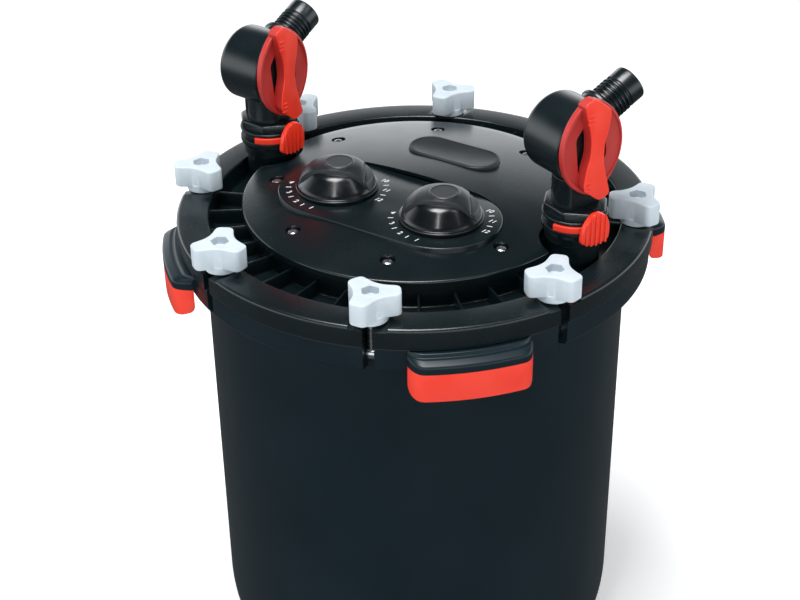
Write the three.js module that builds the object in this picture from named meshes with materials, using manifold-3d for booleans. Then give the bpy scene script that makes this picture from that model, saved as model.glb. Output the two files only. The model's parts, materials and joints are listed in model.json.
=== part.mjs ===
// Canister filter: an upright pressure vessel closed by a bolted lid, with two quick-release hose
// valves, two reminder dials, four lifting handles, stacked media baskets and a pump in its base.
// Millimetres, +Z up. The base stands on z = 0 and the vessel's axis is Z. X runs through the two
// valves, and the dials are on the -Y side.

import * as THREE from 'three';
import { mergeVertices } from 'three/addons/utils/BufferGeometryUtils.js';
import Module from 'manifold-3d';

const wasm = await Module();
wasm.setup();

// Driving dimensions.
const RIM_Z = 432;             // top of the lid flange above the floor
const RIM_R = 196;             // lid flange, the widest turned diameter
const COLLAR_R = 194;          // canister collar under the flange
const BODY_R = 175;            // canister wall outside
const BORE_R = 170;            // canister wall inside
const COVER_R = 142;           // cover plate
const DRUM_R = 138;            // raised centre of the lid, under the cover plate
const GAP = 0.3;               // clearance between neighbouring pieces
const SIDES = 32;              // sides of the large turned pieces

const FLANGE_H = 17.7;         // lid flange, top to bottom
const FLOOR_DEPTH = 16;        // annular channel round the cover plate, below the rim
const COLLAR_DEPTH = 37;       // underside of the canister collar, below the rim

const FASTENERS = 8;
const FASTENER_START = 22.5;   // degrees
const FASTENER_R = 181.5;      // bolt axis from the vessel's axis
const PIVOT_DEPTH = 30;        // bolt hinge below the rim
const BOLT_R = 3.5;
const SLOT_HALF = 4.3;         // half width of the slot that the bolt stands in
const SLOT_START_R = 176.2;
const KNOB_TIP_R = 24.5;
const KNOB_LOBE = 5.8;         // half the depth of the hollows between a knob's lobes
const KNOB_BOSS_R = 12.5;
const KNOB_BOSS_H = 5;
const KNOB_TOP = 23.5;         // above the rim

const SCREW_R = 116.7;         // circle of the cover screws
const RIB_STEP = 11.25;        // degrees between the channel's ribs
const RIB_FREE = 15;           // degrees kept free of ribs on each side of a valve

const VALVE_X = 147;           // stem axis from the vessel's axis
const PORT_R = 26;             // round clearance in the lid about each valve
const DRUM_VALVE_R = 31;       // valve drum
const LEVER_R = 31;
const NOZZLE_R = 13;
const NOZZLE_TIP = 66;         // from the drum's axis
const NOZZLE_RISE = 26;        // degrees above level
// Each valve's turn about its stem, in degrees, the span of its drum along the drum's axis, and the
// height of that axis above the rim. The left valve is pushed further into the lid.
const VALVES = [
  { name: 'right', side: 1, yaw: -22, span: [-31, 11.5], axle: 94.5 },
  { name: 'left', side: -1, yaw: -5, span: [-27, 15], axle: 88.5 },
];

// The cover plate is a low dome: [radius, height above the rim].
const DOME = [[COVER_R, 7], [COVER_R - 1.5, 8.7], [SCREW_R, 12.6], [85, 16.8], [50, 20], [0, 22]];
const COVER_WALL = 3;
const DIAL_X = 50;
const DIAL_Y = -39;
const PANEL_R = 48.5;
const PANEL_TOP = 18;          // above the rim
const DIAL_R = 34;
const DIAL_TOP = 43;
const BADGE = { x: 0, y: 62, half: 23.5, radius: 18.5, floor: 15.8, top: 21.5 };

const HANDLE_START = 45;       // degrees, then every quarter turn
const HANDLE_HALF = 14;        // half of a handle's arc, degrees
const GRIP_OUT_R = 209.5;
const GRIP_IN_R = 204.4;
const GRIP_TOP = -30.4;        // from the rim
const GRIP_BOTTOM = -54;

const BASKETS = 3;
const BASKET_R = 128;
const BASKET_EYE_R = 24;
const BASKET_H = 84;
const BASKET_START = 104;      // underside of the lowest basket above the floor
const BASKET_PITCH = 88;

const plastic = (color, roughness = 0.4) =>
  new THREE.MeshStandardMaterial({ color, roughness, metalness: 0 });
const black = plastic(0x14191c, 0.38);
const gloss = plastic(0x0a0d0f, 0.18);
const slate = plastic(0x2b3136, 0.5);
const red = plastic(0xe8432e, 0.42);
const pale = plastic(0xdfe6ea, 0.45);
const grey = plastic(0x8d9498, 0.5);
const rubber = plastic(0x1c1c1c, 0.9);
const steel = new THREE.MeshStandardMaterial({ color: 0xb8bcc0, roughness: 0.3, metalness: 1 });

const radians = THREE.MathUtils.degToRad;
const filter = new THREE.Group();

// ---- Shape helpers: every one takes and gives closed geometry ----

function asSolid(geometry) {
  const bare = geometry.index ? geometry.toNonIndexed() : geometry.clone();
  bare.deleteAttribute('normal');
  bare.deleteAttribute('uv');
  const merged = mergeVertices(bare, 1e-4);
  const vertProperties = merged.attributes.position.array;
  const triVerts = new Uint32Array(merged.index.array);
  return new wasm.Manifold(new wasm.Mesh({ numProp: 3, vertProperties, triVerts }));
}

function asGeometry(solid) {
  const made = solid.getMesh();
  const geometry = new THREE.BufferGeometry();
  geometry.setAttribute('position', new THREE.BufferAttribute(made.vertProperties, 3));
  geometry.setIndex(new THREE.BufferAttribute(made.triVerts, 1));
  geometry.computeVertexNormals();
  return geometry;
}

const join = (first, ...others) =>
  asGeometry(others.reduce((made, other) => made.add(asSolid(other)), asSolid(first)));
const cut = (first, ...tools) =>
  asGeometry(tools.reduce((made, tool) => made.subtract(asSolid(tool)), asSolid(first)));
const common = (first, second) => asGeometry(asSolid(first).intersect(asSolid(second)));

// Turned about Z from [radius, height] points that run outwards below and upwards outside.
function turned(profile, sides = SIDES) {
  const points = profile.map(([radius, z]) => new THREE.Vector2(radius, z));
  return new THREE.LatheGeometry(points, sides).rotateX(Math.PI / 2);
}

// A turned ring: the profile closes on itself.
const ring = (profile, sides) => turned([...profile, profile[0]], sides);

const tube = (inner, outer, low, high, sides) =>
  ring([[inner, low], [outer, low], [outer, high], [inner, high]], sides);

const disc = (radius, low, high, sides = 16) =>
  turned([[0, low], [radius, low], [radius, high], [0, high]], sides);

function block([x0, x1], [y0, y1], [z0, z1]) {
  const made = new THREE.BoxGeometry(x1 - x0, y1 - y0, z1 - z0);
  return made.translate((x0 + x1) / 2, (y0 + y1) / 2, (z0 + z1) / 2);
}

// A straight-sided solid on an outline in the XY plane.
const prism = (shape, low, high, curveSegments = 8) =>
  new THREE.ExtrudeGeometry(shape, { depth: high - low, bevelEnabled: false, curveSegments })
    .translate(0, 0, low);

// A long outline with two half-round ends, along X.
function stadium(half, radius) {
  const shape = new THREE.Shape();
  shape.moveTo(-half, -radius);
  shape.lineTo(half, -radius);
  shape.absarc(half, 0, radius, -Math.PI / 2, Math.PI / 2, false);
  shape.lineTo(-half, radius);
  shape.absarc(-half, 0, radius, Math.PI / 2, Math.PI * 1.5, false);
  return shape;
}

// An arc-shaped strip between two radii, centred on the X axis.
function arcStrip(inner, outer, halfAngle) {
  const shape = new THREE.Shape();
  shape.absarc(0, 0, outer, -halfAngle, halfAngle, false);
  shape.absarc(0, 0, inner, halfAngle, -halfAngle, true);
  return shape;
}

const alongX = (geometry) => geometry.clone().rotateY(Math.PI / 2);
const alongY = (geometry) => geometry.clone().rotateX(-Math.PI / 2);
const at = (geometry, x, y, z) => geometry.clone().translate(x, y, z);
const turnedTo = (geometry, degrees) => geometry.clone().rotateZ(radians(degrees));
const fastenerAngle = (index) => FASTENER_START + index * 360 / FASTENERS;
const atFasteners = (geometry) =>
  Array.from({ length: FASTENERS }, (_, index) => turnedTo(geometry, fastenerAngle(index)));
const handleAngle = (index) => HANDLE_START + index * 90;

// ---- Scene helpers ----

function add(name, geometry, material, parent = filter) {
  const mesh = new THREE.Mesh(geometry, material);
  mesh.name = name;
  parent.add(mesh);
  return mesh;
}

function place(x, y, z, turn = 0, parent = filter) {
  const group = new THREE.Group();
  group.position.set(x, y, z);
  group.rotation.z = radians(turn);
  parent.add(group);
  return group;
}

const rim = place(0, 0, RIM_Z);      // everything near the lid is measured from the rim

// ---- Canister: vessel wall, collar, hinge slots and handle brackets ----

const VESSEL_CURVE = [[138, 12], [154, 17], [166, 29], [173, 46], [BODY_R, 64]];
const MOTOR_BAY = { radius: 74, roof: 56, neck: 40.4 };

function vessel() {
  const collarTop = RIM_Z - FLANGE_H - GAP;
  const collarLow = RIM_Z - COLLAR_DEPTH;
  return ring([
    [MOTOR_BAY.neck, MOTOR_BAY.roof], [MOTOR_BAY.radius - 4, MOTOR_BAY.roof],
    [MOTOR_BAY.radius, 12], ...VESSEL_CURVE,
    [BODY_R, collarLow - 8], [COLLAR_R, collarLow], [COLLAR_R, collarTop],
    [BORE_R, collarTop], [BORE_R, 66], [163, 42], [150, 24], [136, 18],
    [MOTOR_BAY.radius + 6, 18], [MOTOR_BAY.radius + 2, MOTOR_BAY.roof + 6],
    [MOTOR_BAY.neck, MOTOR_BAY.roof + 6],
  ]);
}

// One bracket: a shelf out from the collar, a black lip that hangs down, and a web below.
function bracket() {
  const shape = ring([
    [172, -52], [185, -41], [203.5, -25.5], [201.2, -29], [201.2, -50], [204, -50],
    [204, -30], [GRIP_OUT_R, -30], [GRIP_OUT_R, -23], [206, -20.5], [192, -18.6], [172, -19],
  ]);
  const wedge = prism(arcStrip(150, 230, radians(HANDLE_HALF)), -60, -10, 2);
  return common(shape, wedge);
}

const brackets = [0, 1, 2, 3].map((index) =>
  turnedTo(at(bracket(), 0, 0, RIM_Z), handleAngle(index)));

const hingeSlot = block([SLOT_START_R, 215], [-SLOT_HALF, SLOT_HALF], [RIM_Z - 56, RIM_Z - 12]);
const hingeHole = at(alongY(disc(3, -10.4, 10.4, 6)), FASTENER_R, 0, RIM_Z - PIVOT_DEPTH);
const drainHole = at(alongY(disc(9.4, 150, 190, 12)), 0, 0, 84);

const canister = cut(
  join(vessel(), ...brackets),
  tube(BORE_R - 12, BORE_R, 90, RIM_Z),
  ...atFasteners(hingeSlot), ...atFasteners(hingeHole), drainHole);
add('canister', canister, black);

// ---- Base: a ring with upright fins that stop against the vessel's curve, on rubber feet ----

const vesselClearance = turned([[0, 11.7], [138.2, 11.7], [154.3, 16.6], [166.4, 28.8],
  [173.4, 46], [0, 46]]);
const fin = block([162, 170], [-5, 5], [5, 38]);
const fins = [0, 1, 2, 3, 4, 5, 6, 7].map((index) => turnedTo(fin, index * 45));
add('base_ring', cut(join(tube(126, 168, 4, 11, SIDES), ...fins), vesselClearance), black);

for (let index = 0; index < 4; index += 1) {
  const corner = place(0, 0, 0, handleAngle(index));
  add(`foot_${index + 1}`, at(disc(10, 0, 4 - GAP, 12), 150, 0, 0), rubber, corner);
}

// ---- Lid: flange, ribbed channel, raised centre and two port wells ----

function lidShell() {
  return turned([
    [0, -3], [131, -3], [134, -20], [163.5, -20], [163.5, -32], [169.2, -32], [169.2, -27],
    [166, -27], [166, -22], [169.2, -22], [169.2, -FLANGE_H], [RIM_R, -FLANGE_H],
    [RIM_R, -1.5], [RIM_R - 1.5, 0], [170, 0], [167, -FLOOR_DEPTH], [DRUM_R, -FLOOR_DEPTH],
    [DRUM_R, 2], [0, 2],
  ]);
}

function ribs() {
  const rib = block([DRUM_R - 1, 170.5], [-1, 1], [-18, -3.5]);
  const made = [];
  for (let angle = 0; angle < 360; angle += RIB_STEP) {
    const fromValve = Math.min(angle % 180, 180 - angle % 180);
    if (fromValve > RIB_FREE) made.push(turnedTo(rib, angle));
  }
  return made;
}

const portSolid = common(at(disc(33, -19, 1.5, 16), VALVE_X, 0, 0),
  disc(DRUM_R - 0.2, -19, 1.5, SIDES));
const portWell = common(at(disc(PORT_R, 0.1 - FLOOR_DEPTH, 12, 16), VALVE_X, 0, 0),
  disc(171, -20, 12, SIDES));
const portHole = at(disc(16.4, -20.6, 4, 16), VALVE_X, 0, 0);
const bothSides = (geometry) => [geometry, turnedTo(geometry, 180)];

// The flange falls away outside each bolt, so that the knob's boss clears it as the bolt swings.
const rampShape = new THREE.Shape([
  new THREE.Vector2(FASTENER_R, 0), new THREE.Vector2(200, -4.4),
  new THREE.Vector2(200, 4), new THREE.Vector2(FASTENER_R, 4)]);
const ramp = prism(rampShape, -15, 15).rotateX(Math.PI / 2);
const lidSlot = block([SLOT_START_R, 200], [-SLOT_HALF, SLOT_HALF], [-20, 4]);
const screwHole = at(disc(2.4, -1.5, 4, 6), SCREW_R, 0, 0);

const lid = cut(
  join(lidShell(), ...ribs(), ...bothSides(portSolid)),
  ...bothSides(portWell), ...bothSides(portHole),
  ...atFasteners(ramp), ...atFasteners(lidSlot), ...atFasteners(screwHole));
add('lid', lid, black, rim);

add('lid_gasket', ring([[166.3, -26.6], [169.7, -26.6], [169.7, -22.4], [166.3, -22.4]]),
  rubber, rim);

// ---- Cover plate with its screws, dial panel and badge ----

const panelShape = (clearance) => stadium(DIAL_X, PANEL_R + clearance);
const badgeShape = (clearance) => stadium(BADGE.half, BADGE.radius + clearance);
const DRUM_TOP = 2;            // the lid's raised centre, which carries the plate and the panel
const SEAT_R = 106;            // outside this the plate is solid, for its screws

function coverPlate() {
  const inner = DOME.filter(([radius]) => radius < SEAT_R)
    .map(([radius, z]) => [radius, z - COVER_WALL]).reverse();
  const plate = turned([
    ...inner, [SEAT_R, 11], [SEAT_R, DRUM_TOP + GAP], [COVER_R, DRUM_TOP + GAP], ...DOME,
  ]);
  const counterbore = join(at(disc(6.5, 8, 24, 8), SCREW_R, 0, 0),
    at(disc(2.4, 0, 9, 6), SCREW_R, 0, 0));
  return cut(
    plate,
    at(prism(panelShape(GAP), 0, 24, 12), 0, DIAL_Y, 0),
    at(prism(badgeShape(GAP), BADGE.floor, 24, 6), BADGE.x, BADGE.y, 0),
    ...bothSides(at(disc(PORT_R + 1, 0, 24, 16), VALVE_X, 0, 0)),
    ...atFasteners(counterbore));
}
add('cover_plate', coverPlate(), black, rim);

// The panel is a tray turned over, with a boss under each dial.
function dialPanel() {
  const tray = cut(prism(panelShape(0), DRUM_TOP + GAP, PANEL_TOP, 12),
    prism(panelShape(-COVER_WALL), 0, PANEL_TOP - COVER_WALL, 8));
  const boss = at(disc(10, DRUM_TOP + GAP, PANEL_TOP - 1, 12), DIAL_X, 0, 0);
  const spindleHole = at(disc(5.6, 8, 20, 8), DIAL_X, 0, 0);
  return cut(join(tray, ...bothSides(boss)), ...bothSides(spindleHole));
}
add('dial_panel', at(dialPanel(), 0, DIAL_Y, 0), black, rim);

add('badge_pad', at(prism(badgeShape(0), BADGE.floor + GAP, BADGE.top, 6), BADGE.x, BADGE.y, 0),
  slate, rim);

for (let index = 0; index < FASTENERS; index += 1) {
  const spoke = place(0, 0, 0, fastenerAngle(index), rim);
  const screw = turned([[0, -1], [2, -1], [2, 8.3], [4.8, 8.3], [4.8, 10.6], [3.6, 11.6],
    [0, 11.6]], 6);
  add(`cover_screw_${index + 1}`, at(screw, SCREW_R, 0, 0), steel, spoke);
}

// A dial: round base, a grip that narrows to one side, and a round cap. The spindle is below.
function dial() {
  const low = PANEL_TOP + GAP;
  const base = turned([[0, 8.4], [5, 8.4], [5, low], [DIAL_R, low], [DIAL_R, low + 3],
    [DIAL_R - 2, low + 9], [20, low + 14], [0, low + 14]], 20);
  const outline = new THREE.Shape();
  outline.absarc(0, 0, 15, radians(-20), radians(200), false);
  outline.quadraticCurveTo(-16, -20, -6, -28);
  outline.lineTo(4, -28);
  outline.quadraticCurveTo(8, -16, 15, -6);
  const grip = prism(outline, low + 4, DIAL_TOP - 7, 4);
  const cap = turned([[0, low + 12], [15, low + 12], [15.5, DIAL_TOP - 3], [13, DIAL_TOP],
    [0, DIAL_TOP]], 12);
  return join(base, grip, cap);
}
const dialGeometry = dial();
add('dial_right', dialGeometry, gloss, place(DIAL_X, DIAL_Y, 0, -20, rim));
add('dial_left', dialGeometry, gloss, place(-DIAL_X, DIAL_Y, 0, -20, rim));

// ---- Lid fasteners: a bolt hinged in the collar, and a three-lobed knob on it ----

const bolt = join(
  disc(BOLT_R, 0, PIVOT_DEPTH + 14, 6), alongY(disc(5, -4, 4, 8)), alongY(disc(2.4, -10, 10, 6)));

function knob() {
  const points = [];
  const steps = 18;
  for (let step = 0; step < steps; step += 1) {
    const angle = step * 2 * Math.PI / steps;
    const radius = KNOB_TIP_R - KNOB_LOBE + KNOB_LOBE * Math.cos(3 * angle);
    points.push(new THREE.Vector2(radius * Math.cos(angle), radius * Math.sin(angle)));
  }
  const lobes = prism(new THREE.Shape(points), KNOB_BOSS_H, KNOB_TOP);
  const boss = disc(KNOB_BOSS_R, 0.4, KNOB_BOSS_H + 1, 10);
  return cut(join(lobes, boss), disc(BOLT_R + 0.8, -1, 14.6, 6), disc(7, 17, 30, 6));
}
const knobGeometry = knob();
// Which way the first lobe of each knob points, in degrees from X.
const LOBE_TURNS = [3.5, 3.5, 33.5, 33.5, -26.5, -26.5, 33.5, 3.5];

for (let index = 0; index < FASTENERS; index += 1) {
  const angle = fastenerAngle(index);
  const spoke = place(0, 0, 0, angle, rim);
  add(`swing_bolt_${index + 1}`, at(bolt, FASTENER_R, 0, -PIVOT_DEPTH), steel, spoke);
  const turn = LOBE_TURNS[index] - angle;
  add(`knob_${index + 1}`, knobGeometry, pale, place(FASTENER_R, 0, 0, turn, spoke));
}

// ---- Handle grips: a red skin over each bracket's lip ----

const gripShape = arcStrip(GRIP_IN_R, GRIP_OUT_R, radians(HANDLE_HALF));
for (let index = 0; index < 4; index += 1) {
  const corner = place(0, 0, 0, handleAngle(index), rim);
  add(`handle_grip_${index + 1}`, prism(gripShape, GRIP_BOTTOM, GRIP_TOP, 4), red, corner);
}

// ---- Hose valves ----

const SHOULDER_TOP = 44.2;     // above the rim, clear of the lever's tip as it turns

// Nozzle geometry is made along Z from the drum's axis, then leant back over the valve's rear.
const leant = (geometry, along, axle) =>
  at(geometry.clone().rotateX(radians(NOZZLE_RISE - 90)), along, 0, axle);
const drumDisc = (radius, from, to, axle, sides) =>
  at(alongX(disc(radius, from, to, sides)), 0, 0, axle);

function valveStem(axle) {
  return turned([
    [0, -44], [16, -44], [16, 0.4 - FLOOR_DEPTH], [21.6, 0.4 - FLOOR_DEPTH],
    [21.6, 13], [24.5, 14], [24.5, 21], [27, 24], [27, 27.7], [23.7, 27.7], [23.7, 34.3],
    [27, 34.3], [27, 36.5], [18, 38], [18, 68], [14, 69], [14, axle - 9], [0, axle - 9],
  ], 16);
}

function valveBody({ span: [from, to], axle }) {
  const shoulder = prism(new THREE.Shape([
    new THREE.Vector2(-25, -9), new THREE.Vector2(-12, -22), new THREE.Vector2(12, -22),
    new THREE.Vector2(26, -8), new THREE.Vector2(26, 8), new THREE.Vector2(12, 22),
    new THREE.Vector2(-12, 22), new THREE.Vector2(-25, 9)]), 36, SHOULDER_TOP);
  const wing = block([-24.5, -15], [-5, 5], [40, axle - 7]);
  const drum = drumDisc(DRUM_VALVE_R, from, to, axle, 18);
  const socket = leant(disc(17, 0, 34, 12), (from + to) / 2, axle);
  const leverSide = block([to, 60], [-45, 45], [SHOULDER_TOP + GAP, 140]);
  return cut(join(valveStem(axle), shoulder, wing, drum, socket), leverSide);
}

function valveLever({ span: [, to], axle }) {
  const face = to + GAP;
  const plate = drumDisc(LEVER_R, face, face + 5, axle, 20);
  const lens = new THREE.Shape([
    new THREE.Vector2(-42, -5), new THREE.Vector2(-30, -16), new THREE.Vector2(30, -16),
    new THREE.Vector2(42, -5), new THREE.Vector2(42, 5), new THREE.Vector2(30, 16),
    new THREE.Vector2(-30, 16), new THREE.Vector2(-42, 5)]);
  const ears = at(alongX(prism(lens, face, face + 5)), 0, 0, axle);
  const bar = block([face + 4, face + 11], [-6.5, 6.5], [axle - 41, axle + 41]);
  return join(plate, ears, bar);
}

function valveNozzle({ span: [from, to], axle }) {
  const root = 34 + GAP;
  const profile = [[9, root], [NOZZLE_R, root]];
  const barbs = 3;
  const pitch = 5;
  for (let index = 0; index < barbs; index += 1) {
    const low = root + 2 + index * pitch;
    profile.push([NOZZLE_R + 1.5, low], [NOZZLE_R - 0.5, low + pitch - 0.6]);
  }
  profile.push([NOZZLE_R, 58], [NOZZLE_R, NOZZLE_TIP - 1], [NOZZLE_R - 1, NOZZLE_TIP],
    [9, NOZZLE_TIP]);
  return leant(ring(profile, 10), (from + to) / 2, axle);
}

// The red release ring turns in the stem's groove, by its ribbed thumb tab.
function releaseRing() {
  const band = tube(24.8, 28.2, 28, 34, 16);
  const tab = block([27.3, 33], [-11, 11], [20.5, 45.8]);
  return join(band, tab);
}
const RELEASE_TURN = -11;      // where the thumb tab points, degrees from the drum's axis

for (const valve of VALVES) {
  const stand = place(VALVE_X * valve.side, 0, 0, valve.yaw, rim);
  add(`valve_body_${valve.name}`, valveBody(valve), black, stand);
  add(`valve_lever_${valve.name}`, valveLever(valve), red, stand);
  add(`hose_nozzle_${valve.name}`, valveNozzle(valve), black, stand);
  add(`release_ring_${valve.name}`, releaseRing(), red, place(0, 0, 0, RELEASE_TURN, stand));
}

// ---- Inside: pump in the base, outlet riser and three stacked baskets ----

const motor = join(
  turned([[0, 5], [62, 5], [64, 7], [64, 52], [60, 55.6], [40, 55.6], [40, 68], [0, 68]], 20),
  at(alongY(disc(3.8, 60, 84, 10)), 0, 0, 7.6));
add('motor_housing', motor, black);

const blade = block([5, 26], [-1.2, 1.2], [72, 84]);
const blades = [0, 1, 2, 3, 4, 5].map((index) => turnedTo(blade, index * 60));
add('impeller', join(tube(3.2, 7, 70, 86, 8), disc(27, 70, 73, 16), ...blades), grey);

const volute = cut(
  join(disc(38, 68 + GAP, 92, 20), block([30, 158], [-10, 10], [74, 90])),
  disc(30, 60, 89, 16), disc(14, 88, 100, 12),
  at(disc(9.6, 82, 100, 8), VALVE_X, 0, 0));
add('volute_cover', volute, grey);
add('outlet_riser', at(tube(6.5, 9, 83, RIM_Z - 46, 8), VALVE_X, 0, 0), grey);

// A basket: a ring-shaped trough with a lifting eye through its middle.
const trough = ring([
  [BASKET_EYE_R, 0], [BASKET_R, 0], [BASKET_R, BASKET_H], [BASKET_R - 3, BASKET_H],
  [BASKET_R - 3, 4], [BASKET_EYE_R + 3, 4], [BASKET_EYE_R + 3, BASKET_H],
  [BASKET_EYE_R, BASKET_H]], 16);
for (let index = 0; index < BASKETS; index += 1) {
  const level = BASKET_START + index * BASKET_PITCH;
  add(`media_basket_${index + 1}`, trough, grey, place(0, 0, level));
  const media = ring([[BASKET_EYE_R + 4, 5], [BASKET_R - 4, 5], [BASKET_R - 4, BASKET_H - 6],
    [BASKET_EYE_R + 4, BASKET_H - 6]], 16);
  if (index === 0) add('filter_foam', media, slate, place(0, 0, level));
}
const basketLidZ = BASKET_START + BASKETS * BASKET_PITCH - 4 + GAP;
add('basket_lid', tube(BASKET_EYE_R, BASKET_R, basketLidZ, basketLidZ + 4, 16), grey);

// ---- Drain valve at the back, with its quarter-turn handle ----

const drainStand = place(0, 0, 84);
add('drain_valve', join(
  alongY(disc(9, 160, BODY_R + 4, 12)), alongY(disc(12, BODY_R + GAP + 0.4, 190, 16)),
  at(disc(7, 0, 17, 12), 0, 183, 0)), black, drainStand);
add('drain_handle', join(
  at(disc(7, 17 + GAP, 24, 12), 0, 183, 0), block([-3, 3], [178, 196], [19, 26])), red,
drainStand);

export default filter;
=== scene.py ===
# Canister filter: the finished look of every piece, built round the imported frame.
# Shapes are worked out in millimetres and scaled to metres when a piece is finished. Heights near
# the lid are counted from the rim, the top of the lid's flange.

import json
from math import atan2, cos, pi, radians, sin

import bmesh
import bpy
from mathutils import Matrix, Vector


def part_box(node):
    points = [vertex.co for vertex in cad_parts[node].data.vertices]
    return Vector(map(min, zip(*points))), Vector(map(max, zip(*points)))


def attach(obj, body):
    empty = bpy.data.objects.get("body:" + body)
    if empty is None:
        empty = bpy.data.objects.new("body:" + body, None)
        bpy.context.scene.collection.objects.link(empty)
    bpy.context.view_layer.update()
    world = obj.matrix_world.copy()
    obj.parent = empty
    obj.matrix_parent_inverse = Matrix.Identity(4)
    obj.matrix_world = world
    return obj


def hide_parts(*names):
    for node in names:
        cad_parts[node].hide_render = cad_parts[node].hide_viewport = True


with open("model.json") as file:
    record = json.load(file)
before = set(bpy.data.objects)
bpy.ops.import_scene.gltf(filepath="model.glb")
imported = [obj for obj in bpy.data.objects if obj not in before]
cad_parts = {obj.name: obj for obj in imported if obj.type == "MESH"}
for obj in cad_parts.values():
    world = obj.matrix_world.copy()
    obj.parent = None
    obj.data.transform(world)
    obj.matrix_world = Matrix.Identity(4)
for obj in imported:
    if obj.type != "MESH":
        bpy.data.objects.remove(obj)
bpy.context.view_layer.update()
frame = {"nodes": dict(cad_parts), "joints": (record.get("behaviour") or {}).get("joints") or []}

MM = 0.001
GAP = 0.3                      # clearance between neighbouring pieces
SMOOTH = radians(32)           # edges sharper than this stay crisp
ROUND = 160                    # steps of the large turned pieces
joints = {joint["name"]: joint for joint in frame["joints"]}


def low(node):
    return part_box(node)[0] / MM


def high(node):
    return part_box(node)[1] / MM


def axis_point(joint):
    return Vector(joints[joint]["pos_m"]) / MM


# Sizes that several pieces share.
DRUM_RISE = 2                                # the lid's raised centre above the rim
RIM_Z = high("lid").z - DRUM_RISE
FLANGE_H = RIM_Z - high("canister").z - GAP
RIM_R = 196
COLLAR_R = 194
BODY_R = 175
BORE_R = 170
PIN_HOLE_R = 3                               # holes of the bolts' hinges
SLOT_R = 176.2                               # bottom of the slots that the bolts stand in
SLOT_HALF = 4.3
COVER_R = high("cover_plate").y
COUNT = 8                                    # fasteners, and screws in the cover
FIRST = 22.5                                 # degrees from X to the first of them
BOLT_SPOT = axis_point("knob_turn_1")
FASTENER_R = BOLT_SPOT.xy.length
PIVOT_Z = axis_point("bolt_swing_1").z - RIM_Z
SCREW_R = (low("cover_screw_1") + high("cover_screw_1")).xy.length / 2
DOME_TOP = 22                                # crown of the cover plate above the rim
PANEL_TOP = high("dial_panel").z - RIM_Z
PANEL_R = (high("dial_panel").y - low("dial_panel").y) / 2
DIAL = axis_point("dial_turn_right")
HANDLE_HALF = 14                             # degrees
HANDLE_ROOT_R = 190                          # the handles' ends curve back towards this radius
GRIP_R = (204.4, 209.5)
GRIP_Z = (low("handle_grip_1").z - RIM_Z, high("handle_grip_1").z - RIM_Z)
VALVE_X = axis_point("release_turn_right").x
PORT_R = 26
DRAIN = axis_point("drain_turn")
DRAIN_Z = DRAIN.z - 20                       # axis of the drain's pipe, under its handle


# ---- Mesh helpers: every one gives a closed bmesh ----

def rounded(points, closed=False, steps=5):
    """The outline, with a curve at each point whose third value is the room that the curve takes."""
    made = []
    for index, point in enumerate(points):
        here = Vector(point[:2])
        if len(point) < 3 or (not closed and index in (0, len(points) - 1)):
            made.append(here)
            continue
        before = Vector(points[index - 1][:2]) - here
        after = Vector(points[(index + 1) % len(points)][:2]) - here
        reach = min(point[2], before.length * 0.49, after.length * 0.49)
        start = here + before.normalized() * reach
        end = here + after.normalized() * reach
        for step in range(steps + 1):
            t = step / steps
            made.append(start * (1 - t) ** 2 + here * 2 * t * (1 - t) + end * t ** 2)
    return made


def tidy(bm):
    bmesh.ops.remove_doubles(bm, verts=bm.verts, dist=0.002)
    bmesh.ops.dissolve_degenerate(bm, edges=bm.edges, dist=0.001)
    bmesh.ops.recalc_face_normals(bm, faces=bm.faces)
    return bm


def revolve(profile, steps=ROUND, closed=False, sweep=360):
    """A solid turned about Z from (radius, height) points, or a capped slice of one."""
    bm = bmesh.new()
    verts = [bm.verts.new((radius, 0, z)) for radius, z in profile]
    edges = [bm.edges.new(pair) for pair in zip(verts, verts[1:])]
    if closed:
        edges.append(bm.edges.new((verts[-1], verts[0])))
    bmesh.ops.spin(bm, geom=verts + edges, cent=(0, 0, 0), axis=(0, 0, 1), dvec=(0, 0, 0),
                   angle=radians(sweep), steps=steps, use_merge=sweep == 360)
    bmesh.ops.remove_doubles(bm, verts=bm.verts, dist=0.002)
    if sweep < 360:
        open_edges = [edge for edge in bm.edges if edge.is_boundary]
        bmesh.ops.holes_fill(bm, edges=open_edges, sides=0)
    return tidy(bm)


def ring(profile, steps=ROUND, sweep=360):
    return revolve(profile, steps, True, sweep)


def disc(radius, bottom, top, edge=0.0, steps=48):
    return revolve(rounded([(0, bottom), (radius, bottom, edge), (radius, top, edge), (0, top)]),
                   steps)


def prism(outline, bottom, top):
    """A straight-sided solid on an outline in the XY plane."""
    bm = bmesh.new()
    face = bm.faces.new([bm.verts.new((x, y, bottom)) for x, y in outline])
    made = bmesh.ops.extrude_face_region(bm, geom=[face], use_keep_orig=True)
    raised = [item for item in made["geom"] if isinstance(item, bmesh.types.BMVert)]
    bmesh.ops.translate(bm, verts=raised, vec=(0, 0, top - bottom))
    return tidy(bm)


def block(x, y, z):
    bm = bmesh.new()
    bmesh.ops.create_cube(bm, size=1)
    bmesh.ops.scale(bm, verts=bm.verts, vec=(x[1] - x[0], y[1] - y[0], z[1] - z[0]))
    bmesh.ops.translate(bm, verts=bm.verts, vec=(sum(x) / 2, sum(y) / 2, sum(z) / 2))
    return bm


def soften(bm, width, segments=2, sharper=30, where=None):
    """Round every edge that is sharper than an angle and passes a test, if one is given."""
    edges = [edge for edge in bm.edges if edge.is_manifold
             and edge.calc_face_angle(0) > radians(sharper) and (not where or where(edge))]
    bmesh.ops.bevel(bm, geom=edges, offset=width, offset_type="OFFSET", affect="EDGES",
                    segments=segments, profile=0.5, material=-1, clamp_overlap=True)
    return tidy(bm)


def flat_edge(edge):
    """True for an edge that lies level, such as the rim of a prism's top."""
    return abs(edge.verts[0].co.z - edge.verts[1].co.z) < 0.01


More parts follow.
